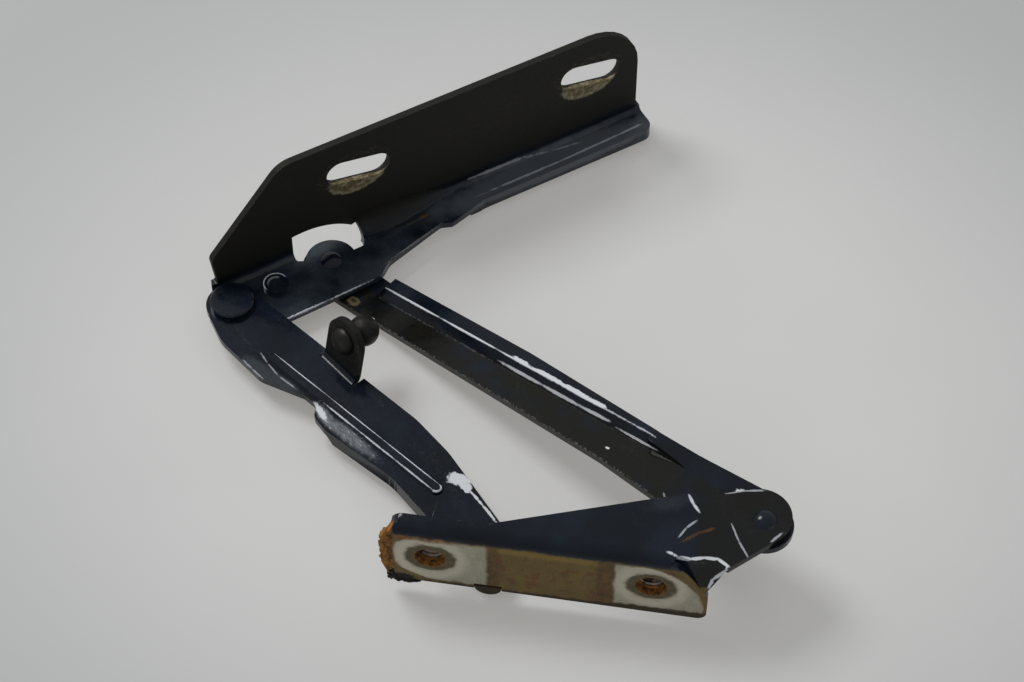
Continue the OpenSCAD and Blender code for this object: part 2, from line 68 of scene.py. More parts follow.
# Camera, as fitted to the photograph
CAMERA_AT = Vector((73.3, -550.5, 881.6)) * MM
CAMERA_AZIMUTH = math.radians(8.7)
CAMERA_ELEVATION = math.radians(52.9)
CAMERA_NEAR_M = 0.01
FOCAL_PX = 2700.0
IMAGE_WIDTH_PX = 1024.0
SENSOR_MM = 36.0

# Light: one large window behind and to the left, and a soft room, in metres and watts
WINDOW_AT = Vector((-1.033, 0.705, 1.497))
WINDOW_AIM = Vector((-0.02, 0.12, 0.0))
WINDOW_SIZE = 0.7
WINDOW_POWER = 19.0
WINDOW_COLOUR = (1.0, 0.99, 0.97)
ROOM_COLOUR = (0.95, 0.97, 1.0, 1.0)
ROOM_BRIGHT_SIDE = (-0.25, 0.60, 0.76)
ROOM_FACING = (-0.5, 1.0)
ROOM_STRENGTH = (0.36, 0.50)

# Floor: a painted pool of light, paler under the hinge than far from it
FLOOR_SIZE_M = 6.0
FLOOR_DROP_M = 0.0002
FLOOR_MIDDLE = (0.0, 110.0, 0.0)
FLOOR_STRETCH = (1.0, 0.85, 1.0)
FLOOR_FADE = (110.0, 340.0)
FLOOR_PALE = (0.680, 0.702, 0.720)
FLOOR_DIM = (0.660, 0.682, 0.700)
FLOOR_FAR = (0.500, 0.510, 0.515)
PAPER_NEAR = (0.590, 0.560, 0.520)
PAPER_FAR = (0.410, 0.412, 0.400)
PAPER_SHARE = 0.4

# Colours of the paint, of what lies thinly on it, and of the painted sheen and painted light laid on it
PAINT_DARK = (0.0032, 0.0056, 0.0105)
PAINT_BLUE = (0.0070, 0.0122, 0.0225)
PAINT_OLIVE = (0.0075, 0.0068, 0.0040)
FILM = (0.045, 0.047, 0.048)
PAINTED_SHEEN = (0.034, 0.044, 0.054)
WEB_PAINTED_SHEEN = (0.036, 0.047, 0.058)
STRIP_PAINTED_LIGHT = (0.135, 0.145, 0.160)
DUST = (0.030, 0.026, 0.018)
TAB_DARK = (0.0060, 0.0050, 0.0040)
TAB_BROWN = (0.014, 0.012, 0.009)

# Colours of chips, worn lines and painted highlight lines, from bright to faint
CHIP_AND_HIGHLIGHT = (0.66, 0.68, 0.72)
CREST_END_HIGHLIGHT = (0.40, 0.42, 0.46)
BASE_HIGHLIGHT_LINE = (0.36, 0.38, 0.41)
STRIP_OUTER_HIGHLIGHT = (0.32, 0.34, 0.37)
ARM_FOLD_HIGHLIGHT = (0.30, 0.32, 0.35)
LINK_END_HIGHLIGHT = (0.26, 0.28, 0.30)
RIVET_HIGHLIGHT = (0.25, 0.26, 0.28)
BUTTON_HIGHLIGHT = (0.25, 0.26, 0.27)
STRIP_INNER_HIGHLIGHT = (0.24, 0.25, 0.26)
WEB_CORNER_HIGHLIGHT = (0.16, 0.16, 0.155)
GREY_WEAR = (0.100, 0.100, 0.098)
LINK_EDGE_HIGHLIGHT = (0.085, 0.078, 0.066)
SLOPE_FOOT_HIGHLIGHT = (0.08, 0.085, 0.09)
CREASE_HIGHLIGHT = (0.060, 0.052, 0.040)
RUB_DARK = (0.050, 0.046, 0.036)

# Colours of bare metal, washer marks, grime and rust
STEEL = (0.20, 0.215, 0.24)
CREAM = (0.17, 0.14, 0.065)
WASHER_PALE = (0.300, 0.270, 0.180)
WASHER_OLIVE = (0.150, 0.120, 0.048)
WASHER_DARK = (0.070, 0.055, 0.020)
PAD_PALE = (0.570, 0.525, 0.405)
PAD = (0.385, 0.362, 0.272)
RING_OLIVE = (0.130, 0.105, 0.055)
RING_DARK = (0.095, 0.075, 0.040)
GOLD = (0.270, 0.180, 0.045)
MIDDLE = (0.170, 0.120, 0.046)
STAIN = (0.165, 0.070, 0.034)
GRIME = (0.035, 0.027, 0.016)
BURNT = (0.012, 0.010, 0.008)
RUST_BRIGHT = (0.330, 0.140, 0.028)
RUST_DIM = (0.110, 0.052, 0.014)
RUST_STREAK = (0.075, 0.036, 0.011)
RUST_DARK = (0.060, 0.030, 0.012)
FLAKE_BRIGHT = (0.300, 0.135, 0.028)
FLAKE_DARK = (0.110, 0.050, 0.014)
BURR_BRIGHT = (0.030, 0.022, 0.015)
BURR_DARK = (0.008, 0.007, 0.006)
THREAD_BRIGHT = (0.46, 0.43, 0.38)
THREAD_DARK = (0.030, 0.020, 0.012)
GREASE_EDGE = (0.050, 0.046, 0.040)
GREASE = (0.011, 0.010, 0.008)
GREASE_DARK = (0.005, 0.004, 0.003)

# Specular levels of the paint
SPECULAR_SHEET = 0.25
SPECULAR_BONNET = 0.30


def pivot(joint_name):
    """Pivot of a joint in plan."""
    x, y, _ = JOINTS[joint_name]["pos_m"]
    return Vector((x, y)) / MM


def middle_of(node_name):
    """Middle of a node's box in plan."""
    low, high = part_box(node_name)
    return Vector(((low[0] + high[0]) / 2, (low[1] + high[1]) / 2)) / MM


def path(*points):
    """Places of a mark, from their coordinates."""
    return [Vector(point) for point in points]


def flat_path(z, *points):
    """Places of a mark on one level, from their coordinates in plan."""
    return [Vector((x, y, z)) for x, y in points]


class Plan:
    """A sheet's own frame in plan: u along it, v to its left."""

    def __init__(self, origin, along):
        self.origin = origin
        self.u = along.normalized()
        self.v = Vector((-self.u.y, self.u.x))
        self.yaw = math.atan2(self.u.y, self.u.x)

    def at(self, u, v, z):
        """One place on the sheet."""
        spot = self.origin + u * self.u + v * self.v
        return Vector((spot.x, spot.y, z))

    def path(self, z, *points):
        """Places of a mark on one level of the sheet."""
        return [self.at(u, v, z) for u, v in points]


# The sheets' frames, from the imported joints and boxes
EYE = middle_of("rivet_link_bonnet")
FLANGE_YAW = math.radians(38.2)
ARM = Plan(pivot("bonnet_tilt"), pivot("arm_swing") - pivot("bonnet_tilt"))
LINK = Plan(EYE, pivot("link_swing") - EYE)
BONNET = Plan(EYE, Vector((math.cos(FLANGE_YAW), math.sin(FLANGE_YAW))))

# Levels of the sheets' upper faces
ARM_TOP = -12.3
BEAD_TOP = -10.8
WEB_TOP = -15.5
BASE_TOP = 18.5
BOSS_TOP = 14.5
EYE_TOP = -19.4

# Bonnet bracket: faces of its flange across the sheet, and its slots along it and up
FLANGE_FRONT = 9.7
FLANGE_BACK = FLANGE_FRONT + 3.2
SLOTS = ((20.0, 22.5), (133.0, 20.5))
BUTTON = BONNET.at(-27.0, -1.75, WEB_TOP + 3.0)
BUTTON_FACING = math.radians(140.0)

# Arm: the bead's ends in the arm's frame, and its half width
BEAD_START = Vector((34.0, -5.5))
BEAD_END = Vector((128.0, 2.5))
BEAD_HALF = 1.9

# Link: the two bends of its ramp along it, the rise between them, and its raised ledge
LINK_BENDS = (26.0, 193.0)
LINK_RISE = 30.7
LINK_PITCH = math.radians(10.4)
LEDGE_TOP = 5.0

# Base bracket: its holes, and for each bare pad its side, its span and its curved outline
HALF_SPACING = MOUNTS[0]["dims"]["spacing_x_mm"] / 2
DEEP = 1000.0
PADS = ((-1, (-57.0, -20.9), (-30.0, 0.0, 0.5), (29.0, DEEP, 17.5)),
        (1, (28.8, 63.6), (36.0, 0.0, -14.0), (28.0, DEEP, 27.5)))


def bead_side(offset, *shares):
    """Places along the arm's bead at shares of its length, an offset to the left of its middle."""
    run = BEAD_END - BEAD_START
    side = Vector((-run.y, run.x)).normalized() * offset
    return [ARM.at(*(BEAD_START + share * run + side), BEAD_TOP) for share in shares]


def link_at(u, v, lift=0.0):
    """A place on the link's ramp, a lift above its floor."""
    start, end = LINK_BENDS
    share = min(max((u - start) / (end - start), 0.0), 1.0)
    return LINK.at(u, v, EYE_TOP + LINK_RISE * share + lift)


def link_path(*points):
    """Places of a mark on the link, from u, v and any lift."""
    return [link_at(*point) for point in points]


def link_run(v, lift, *stations):
    """Places of a mark that runs along the link."""
    return [link_at(u, v, lift) for u in stations]


class Graph:
    """Small helper that adds shader nodes to one material."""

    def __init__(self, name):
        self.material = bpy.data.materials.new(name)
        self.material.use_nodes = True
        self.tree = self.material.node_tree
        self.shader = self.tree.nodes["Principled BSDF"]
        self.coords = self.add("ShaderNodeTexCoord").outputs["Object"]
        self.kept_noises = {}
        self.kept_axes = None

    def add(self, kind, **settings):
        """A new node with some of its settings."""
        node = self.tree.nodes.new(kind)
        for key, value in settings.items():
            setattr(node, key, value)
        return node

    def put(self, socket, value):
        """Links an output to a socket, or sets the socket to a plain value."""
        if isinstance(value, bpy.types.NodeSocket):
            self.tree.links.new(value, socket)
        elif isinstance(value, tuple) and len(value) == 3 and socket.type == "RGBA":
            socket.default_value = (*value, 1.0)
        else:
            socket.default_value = value

    def math(self, operation, a, b=0.0):
        """A sum on one or two numbers."""
        node = self.add("ShaderNodeMath", operation=operation)
        self.put(node.inputs[0], a)
        self.put(node.inputs[1], b)
        return node.outputs[0]

    def times(self, *values):
        """Product of several numbers."""
        total = values[0]
        for value in values[1:]:
            total = self.math("MULTIPLY", total, value)
        return total

    def ramp(self, value, low, high, to_low=0.0, to_high=1.0):
        """Smooth step of a value between two limits."""
        node = self.add("ShaderNodeMapRange", interpolation_type="SMOOTHSTEP")
        for socket, given in zip(node.inputs, (value, low, high, to_low, to_high)):
            self.put(socket, given)
        return node.outputs[0]

    def fade(self, value, low, high):
        """Smooth step that falls from 1 to 0."""
        return self.ramp(value, low, high, 1.0, 0.0)

    def mix(self, factor, a, b):
        """Mix of two colours."""
        node = self.add("ShaderNodeMix", data_type="RGBA")
        self.put(node.inputs["Factor"], factor)
        self.put(node.inputs[6], a)
        self.put(node.inputs[7], b)
        return node.outputs[2]

    def blend(self, factor, a, b):
        """Mix of two numbers."""
        node = self.add("ShaderNodeMix", data_type="FLOAT")
        self.put(node.inputs["Factor"], factor)
        self.put(node.inputs[2], a)
        self.put(node.inputs[3], b)
        return node.outputs[0]

    def place(self, at=(0, 0, 0), size=(1, 1, 1), yaw=0.0, pitch=0.0):
        """Object coordinates counted from a place, in units of size, turned."""
        node = self.add("ShaderNodeMapping", vector_type="TEXTURE")
        self.put(node.inputs["Vector"], self.coords)
        node.inputs["Location"].default_value = Vector(at) * MM
        node.inputs["Rotation"].default_value = (0.0, -pitch, yaw)
        node.inputs["Scale"].default_value = Vector(size) * MM
        return node.outputs[0]

    def axis(self, index):
        """One object coordinate."""
        if self.kept_axes is None:
            split = self.add("ShaderNodeSeparateXYZ")
            self.put(split.inputs[0], self.place())
            self.kept_axes = split.outputs
        return self.kept_axes[index]

    def across(self, plan):
        """Distance to the left of a sheet's own long axis."""
        split = self.add("ShaderNodeSeparateXYZ")
        self.put(split.inputs[0], self.place((plan.origin.x, plan.origin.y, 0.0), yaw=plan.yaw))
        return split.outputs[1]

    def noise(self, size_mm, detail=4.0, roughness=0.55, stretch=(1, 1, 1), yaw=0.0):
        """Noise of a given grain, shared by all that ask for the same one."""
        key = (size_mm, detail, roughness, stretch, yaw)
        if key not in self.kept_noises:
            node = self.add("ShaderNodeTexNoise")
            self.put(node.inputs["Vector"], self.place(size=stretch, yaw=yaw))
            node.inputs["Scale"].default_value = 1.0 / size_mm
            node.inputs["Detail"].default_value = detail
            node.inputs["Roughness"].default_value = roughness
            self.kept_noises[key] = node.outputs["Fac"]
        return self.kept_noises[key]

    def length(self, vector):
        """Length of a vector."""
        node = self.add("ShaderNodeVectorMath", operation="LENGTH")
        self.put(node.inputs[0], vector)
        return node.outputs["Value"]

    def dot(self, a, b):
        """Dot product of two vectors."""
        node = self.add("ShaderNodeVectorMath", operation="DOT_PRODUCT")
        self.put(node.inputs[0], a)
        self.put(node.inputs[1], b)
        return node.outputs["Value"]

    def wander(self, amount, grain_mm):
        """Noise about zero that makes borders ragged."""
        return self.times(self.math("SUBTRACT", self.noise(grain_mm, 3.0), 0.5), 2.0 * amount)

    def ragged(self, value, amount, grain_mm):
        """A value made ragged by noise."""
        return self.math("ADD", value, self.wander(amount, grain_mm))

    def spot(self, at, size, yaw=0.0, pitch=0.0, ragged=0.5, edge=0.2, grain_mm=1.6):
        """Mask of an ellipsoid with a ragged border: 1 inside, 0 outside."""
        distance = self.ragged(self.length(self.place(at, size, yaw, pitch)), ragged, grain_mm)
        return self.fade(distance, 1.0 - edge, 1.0 + edge)

    def stroke(self, start, end, width, ragged=0.6, edge=0.3, grain_mm=1.6):
        """Mask of a long thin mark between two places."""
        run = end - start
        size = (run.length / 2 + width, width, 1.6 * width)
        yaw = math.atan2(run.y, run.x)
        pitch = math.atan2(run.z, math.hypot(run.x, run.y))
        return self.spot((start + end) / 2, size, yaw, pitch, ragged, edge, grain_mm)

    def line(self, points, width, **looks):
        """Mask of a mark along several places."""
        return self.any_of([self.stroke(a, b, width, **looks) for a, b in zip(points, points[1:])])

    def arc(self, at, radius, width, facing, spread, ragged=0.15):
        """Mask of part of a ring in plan, facing one way."""
        local = self.place(at, (1, 1, 4))
        off_ring = self.math("ABSOLUTE", self.math("SUBTRACT", self.length(local), radius))
        ring = self.fade(self.ragged(off_ring, ragged, 1.2), 0.6 * width, width)
        towards = self.dot(local, (math.cos(facing) / radius, math.sin(facing) / radius, 0.0))
        side = self.ramp(towards, math.cos(spread), math.cos(spread * 0.75))
        return self.times(side, ring)

    def band(self, value, low, high, soft):
        """Mask of the values between two limits."""
        rise = self.ramp(value, low - soft, low + soft)
        return self.times(rise, self.fade(value, high - soft, high + soft))

    def any_of(self, masks):
        """Mask of all that lies in any of several masks."""
        total = masks[0]
        for mask in masks[1:]:
            total = self.math("MAXIMUM", total, mask)
        return total

    def edges(self, radius_mm):
        """Mask of sharp edges, from how far a rounded normal leaves the true one."""
        bevel = self.add("ShaderNodeBevel", samples=4)
        bevel.inputs["Radius"].default_value = radius_mm * MM
        true_normal = self.add("ShaderNodeNewGeometry").outputs["True Normal"]
        return self.math("SUBTRACT", 1.0, self.dot(bevel.outputs[0], true_normal))

    def bump(self, height, strength, distance_mm):
        """Normal of a slightly uneven surface."""
        node = self.add("ShaderNodeBump")
        node.inputs["Strength"].default_value = strength
        node.inputs["Distance"].default_value = distance_mm * MM
        self.put(node.inputs["Height"], height)
        return node.outputs[0]

    def finish(self, colour, roughness, metallic, normal, specular):
        """Sets the shader's sockets, and gives the material."""
        self.put(self.shader.inputs["Base Color"], colour)
        self.put(self.shader.inputs["Roughness"], roughness)
        self.put(self.shader.inputs["Metallic"], metallic)
        self.put(self.shader.inputs["Normal"], normal)
        self.shader.inputs["Specular IOR Level"].default_value = specular
        return self.material


def mottled(g, dark, bright, size_mm=2.0):
    """Colour that wavers between two tints."""
    return g.mix(g.ramp(g.noise(size_mm, 5.0, 0.65), 0.36, 0.64), dark, bright)


class Paint:
    """Dark gloss paint, and the layers of wear, painted highlights and painted sheen that lie over it."""

    GLOSS = (0.13, 0.21)
    FILM_ROUGHNESS = 0.42
    DULL_ROUGHNESS = 0.72
    FILM_SHARE = 0.16
    SCRATCH_SHARE = 0.30
    RUST_SHARE = 0.6
    EDGE_MM = 1.1
    BUMP_STRENGTH = 0.35
    BUMP_MM = 0.22

    def __init__(self, name, wear, olive=None, dull=None):
        g = self.g = Graph(name)
        broad, fine = g.noise(26.0, 3.0), g.noise(1.6, 5.0, 0.6)
        smear = g.noise(9.0, 4.0, 0.6, stretch=(1.0, 3.5, 1.0), yaw=0.6)
        hairs = g.noise(0.7, 2.0, 0.5, stretch=(26.0, 0.6, 1.0), yaw=0.45)
        film = g.times(g.ramp(smear, 0.50, 0.80), g.ramp(fine, 0.35, 0.75))
        scratch = g.times(g.ramp(hairs, 0.70, 0.78), g.ramp(broad, 0.45, 0.62))
        self.colour = g.mix(g.ramp(broad, 0.35, 0.68), PAINT_DARK, PAINT_BLUE)
        if olive is not None:
            self.colour = g.mix(olive(g), self.colour, PAINT_OLIVE)
        self.colour = g.mix(g.times(film, self.FILM_SHARE), self.colour, FILM)
        self.colour = g.mix(g.times(scratch, self.SCRATCH_SHARE), self.colour, FILM)
        gloss = g.blend(g.ramp(fine, 0.3, 0.7), *self.GLOSS)
        self.roughness = g.blend(film, gloss, self.FILM_ROUGHNESS)
        if dull is not None:
            self.roughness = g.blend(dull(g), self.roughness, self.DULL_ROUGHNESS)
        self.metallic = 0.0
        self.relief = g.math("ADD", g.times(fine, 0.20), g.noise(7.0, 2.0))
        self.wear_edges(wear)

    def wear_edges(self, wear):
        """Rust and grey metal where the edges have lost their paint."""
        g = self.g
        edge = g.edges(self.EDGE_MM)
        patches = g.ramp(g.noise(13.0, 4.0), 0.58, 0.70)
        self.layer(g.times(g.ramp(edge, 0.04, 0.16), patches, self.RUST_SHARE), RUST_DARK, 0.8)
        grit = g.ramp(g.noise(4.5, 5.0, 0.7), 0.66 - 0.25 * wear, 0.72 - 0.16 * wear)
        self.layer(g.times(g.ramp(edge, 0.06, 0.16), grit), GREY_WEAR, 0.5)

    def layer(self, mask, colour, roughness, metallic=0.0, depth=0.4):
        """Lays a finish over the paint where the mask is 1."""
        g = self.g
        self.colour = g.mix(mask, self.colour, colour)
        self.roughness = g.blend(mask, self.roughness, roughness)
        if metallic > 0.0 or self.metallic != 0.0:
            self.metallic = g.blend(mask, self.metallic, metallic)
        self.relief = g.math("SUBTRACT", self.relief, g.times(mask, depth))

    def lay_marks(self, masks, colour=CHIP_AND_HIGHLIGHT, roughness=0.38, strength=1.0):
        """Lays one colour over several marks."""
        mask = self.g.any_of(masks)
        self.layer(mask if strength == 1.0 else self.g.times(mask, strength), colour, roughness)

    def finish(self, specular):
        """Gives the material."""
        normal = self.g.bump(self.relief, self.BUMP_STRENGTH, self.BUMP_MM)
        return self.g.finish(self.colour, self.roughness, self.metallic, normal, specular)


def upright(g):
    """Mask of the bonnet bracket's upright flange."""
    return g.ramp(g.axis(2), WEB_TOP + 1.0, WEB_TOP + 9.0)


def bonnet_sheen_light_and_dust(paint):
    """Painted sheen on the flat web, painted light on the strip under the flange, and dust on the flange."""
    g = paint.g
    flat = g.fade(g.axis(2), WEB_TOP + 0.8, WEB_TOP + 3.0)
    clouds = g.ramp(g.noise(14.0, 4.0, 0.6), 0.25, 0.75)
    # Painted sheen: clouds of paler blue-grey laid over the flat web.
    paint.layer(g.times(flat, clouds), WEB_PAINTED_SHEEN, 0.30, depth=0.0)
    # Painted light: the strip under the flange is laid paler grey, as if lit.
    strip = g.spot(BONNET.at(108.0, 0.0, WEB_TOP), (54.0, 9.0, 4.0), BONNET.yaw,
                   ragged=0.25, edge=0.25, grain_mm=6.0)
    paint.layer(g.times(strip, 0.6), STRIP_PAINTED_LIGHT, 0.40, depth=0.0)
    dusty = g.spot(BONNET.at(105.0, FLANGE_FRONT, 22.0), (48.0, 2.0, 18.0), BONNET.yaw,
                   ragged=0.4, edge=0.5, grain_mm=9.0)
    specks = g.ramp(g.noise(1.6, 5.0, 0.6), 0.40, 0.75)
    paint.layer(g.times(dusty, specks, 0.35), DUST, 0.8, depth=0.0)


def washer_marks(paint):
    """Olive metal that the washers laid bare round the slots, and rubbed paint behind them."""
    g = paint.g
    scuffs = g.ramp(g.noise(1.3, 5.0, 0.7, stretch=(2.0, 1.0, 0.6), yaw=BONNET.yaw), 0.52, 0.64)
    smudges = g.ramp(g.noise(2.2, 4.0), 0.38, 0.52)
    rubs = g.ramp(g.noise(2.0, 5.0, 0.7), 0.44, 0.62)
    for u, z in SLOTS:
        rim = g.spot(BONNET.at(u - 2.0, FLANGE_FRONT, z + 1.0), (17.2, 2.0, 10.5), BONNET.yaw,
                     ragged=0.10, edge=0.06)
        below = g.spot(BONNET.at(u - 0.5, FLANGE_FRONT, z - 4.6), (13.5, 2.2, 8.6), BONNET.yaw,
                       ragged=0.12, edge=0.06)
        lip = g.spot(BONNET.at(u - 0.5, FLANGE_FRONT, z - 3.2), (13.0, 2.2, 8.0), BONNET.yaw,
                     ragged=0.10, edge=0.08)
        paint.layer(g.times(rim, scuffs, 0.45), WASHER_OLIVE, 0.6)
        paint.layer(g.times(below, 0.9), mottled(g, WASHER_OLIVE, WASHER_PALE), 0.55)
        paint.layer(g.times(lip, smudges), mottled(g, WASHER_DARK, WASHER_OLIVE), 0.6)
    for u, z in SLOTS:
        pressed = g.spot(BONNET.at(u, FLANGE_BACK, z), (24.0, 1.2, 17.0), BONNET.yaw,
                         ragged=0.35, edge=0.25, grain_mm=5.0)
        paint.layer(g.times(pressed, rubs, 0.6), mottled(g, RUB_DARK, GREY_WEAR), 0.55)


def bonnet_paint():
    """Bonnet bracket: dull olive-black flange, glossy web with painted sheen, washer marks, worn edges, and
    painted highlight lines along its edges, folds and button rim.
    """
    paint = Paint("worn_paint_and_highlights_bonnet", wear=0.25, olive=upright, dull=upright)
    bonnet_sheen_light_and_dust(paint)
    washer_marks(paint)
    g = paint.g
    # Painted highlight lines along the web's front edge, partly chipped white, and along its corner.
    front_edge = flat_path(WEB_TOP, (-124.5, 117.3), (-108.5, 130.0), (-93.1, 142.6))
    paint.lay_marks([g.line(front_edge, 0.55, ragged=0.8, grain_mm=1.1)])
    corner = BONNET.path(WEB_TOP, (15.5, -17.6), (22.0, -12.4), (50.0, -5.6))
    paint.lay_marks([g.line(corner, 0.4, ragged=1.0, grain_mm=1.1)], WEB_CORNER_HIGHLIGHT)
    # Painted highlight lines along the strip's inner and outer edges.
    inner = path((-59.0, 205.2, -13.9), (-39.8, 219.9, -14.5), (-16.9, 232.9, WEB_TOP))
    paint.lay_marks([g.line(inner, 0.5, ragged=1.1, grain_mm=3.0)], STRIP_INNER_HIGHLIGHT, 0.4)
    outer = flat_path(WEB_TOP, (-52.2, 198.8), (-22.0, 222.3), (0.2, 240.6), (8.5, 247.6))
    paint.lay_marks([g.line(outer, 0.55, ragged=0.7, grain_mm=3.0)], STRIP_OUTER_HIGHLIGHT, 0.4)
    # Painted highlight lines along the flange's fold and the gusset's foot crease.
    fold = BONNET.path(WEB_TOP + 0.4, (-40.0, 7.6), (-27.0, 7.6), (-14.0, 7.6))
    crease = path((-99.9, 163.2, -14.0), (-84.1, 174.3, WEB_TOP), (-76.0, 181.6, WEB_TOP))
    creases = [g.line(fold, 0.4, ragged=0.8), g.line(crease, 0.45, ragged=0.9)]
    paint.lay_marks(creases, CREASE_HIGHLIGHT, 0.5, 0.8)
    rust_spot = g.spot((-76.9, 181.2, WEB_TOP), (2.0, 0.7, 1.5), BONNET.yaw, ragged=0.4)
    paint.lay_marks([rust_spot], RUST_DIM, 0.85)
    # Painted highlights on the stop button's outer and inner rims, on the side facing the lamp.
    paint.lay_marks([g.arc(BUTTON, 5.2, 0.38, BUTTON_FACING, 1.75)])
    paint.lay_marks([g.arc(BUTTON, 3.4, 0.28, BUTTON_FACING, 1.2)], BUTTON_HIGHLIGHT)
    return paint.finish(SPECULAR_BONNET)


def rubbed_patch(paint):
    """Streaky bare steel beside the arm's notch."""
    g = paint.g
    rubbed = g.any_of([g.stroke(*flat_path(ARM_TOP, (-101.5, 71.8), (-94.0, 63.8)), 2.4, 0.45, 0.35),
                       g.stroke(*flat_path(ARM_TOP, (-96.0, 66.4), (-77.5, 53.6)), 2.6, 0.5, 0.45)])
    streaks = g.ramp(g.noise(0.9, 5.0, 0.75, stretch=(3.0, 0.8, 1.0), yaw=ARM.yaw), 0.30, 0.70)
    paint.layer(g.times(rubbed, g.blend(streaks, 0.35, 0.95)), STEEL, 0.34, 0.3)
    sparks = g.ramp(g.noise(1.1, 4.0, 0.7, stretch=(2.0, 0.8, 1.0), yaw=ARM.yaw), 0.60, 0.68)
    paint.layer(g.times(rubbed, sparks, 0.8), CHIP_AND_HIGHLIGHT, 0.4)
    paint.lay_marks([g.stroke(*flat_path(ARM_TOP, (-102.6, 73.0), (-98.4, 67.6)), 1.3, 0.5),
                 g.spot((-100.3, 78.8, ARM_TOP), (0.9, 0.6, 1.0), ARM.yaw)])


def arm_paint():
    """Arm: painted highlight lines along the bead and its fold, a painted sheen on its left margin, a rubbed
    patch, a large chip near the foot, a grimy tab.
    """
    paint = Paint("worn_paint_and_highlights_arm", wear=0.3)
    g = paint.g
    # Painted highlight lines along both sides of the bead and round its end.
    far_side = bead_side(BEAD_HALF, 0.0, 0.33, 0.66, 1.0)
    near_side = bead_side(-BEAD_HALF, 0.36, 0.55, 0.78, 1.0)
    paint.lay_marks([g.line(far_side, 0.42, ragged=0.35, grain_mm=1.8),
                 g.line(near_side, 0.32, ragged=0.6, grain_mm=1.6)])
    paint.lay_marks([g.arc(ARM.at(*BEAD_END, BEAD_TOP), BEAD_HALF, 0.45, ARM.yaw, 1.7)])
    rubbed_patch(paint)
    streak = ARM.path(ARM_TOP, (137.5, 12.0), (146.0, 11.2), (155.0, 10.0))
    paint.lay_marks([g.spot(ARM.at(130.0, 12.2, ARM_TOP), (4.6, 3.1, 2.0), ARM.yaw + 0.3,
                        ragged=0.9, grain_mm=3.0),
                 g.spot(ARM.at(135.5, 12.0, ARM_TOP), (2.6, 1.8, 2.0), ARM.yaw,
                        ragged=0.8, grain_mm=2.2),
                 g.line(streak, 0.55, ragged=0.8)])
    # Painted sheen along the arm's left margin.
    margin = g.any_of([g.stroke(*flat_path(ARM_TOP, (-134.5, 91.0), (-123.0, 83.0)), 3.2, 0.3, 0.4),
                       g.stroke(*flat_path(ARM_TOP, (-126.0, 86.0), (-114.0, 80.0)), 2.4, 0.3, 0.4)])
    paint.layer(g.times(margin, 0.75), PAINTED_SHEEN, 0.30, depth=0.2)
    # Painted highlight lines along the arm's left fold and rim.
    fold = flat_path(ARM_TOP, (-130.5, 95.6), (-127.0, 91.3), (-121.6, 85.8), (-113.7, 80.7))
    rim = flat_path(ARM_TOP, (-137.3, 91.3), (-133.1, 87.7), (-127.5, 83.4))
    paint.lay_marks([g.line(fold, 0.35, ragged=0.9), g.line(rim, 0.4, ragged=0.7)], ARM_FOLD_HIGHLIGHT, 0.4, 0.8)
    tab = g.any_of([g.ramp(g.axis(2), ARM_TOP + 2.2, ARM_TOP + 4.0),
                    g.spot((-97.7, 98.0, ARM_TOP + 0.8), (12.5, 3.0, 4.0), ARM.yaw,
                           ragged=0.2, edge=0.35)])
    paint.layer(g.times(tab, 0.9), mottled(g, TAB_DARK, TAB_BROWN, 3.0), 0.70, depth=0.3)
    return paint.finish(SPECULAR_SHEET)


def link_floor(g):
    """Mask of the link's brown-black floor, on the near side of its ledge."""
    patches = g.ramp(g.noise(18.0, 3.0), 0.30, 0.50)
    return g.times(patches, g.ramp(g.across(LINK), -0.5, 1.5, 0.9, 0.1))


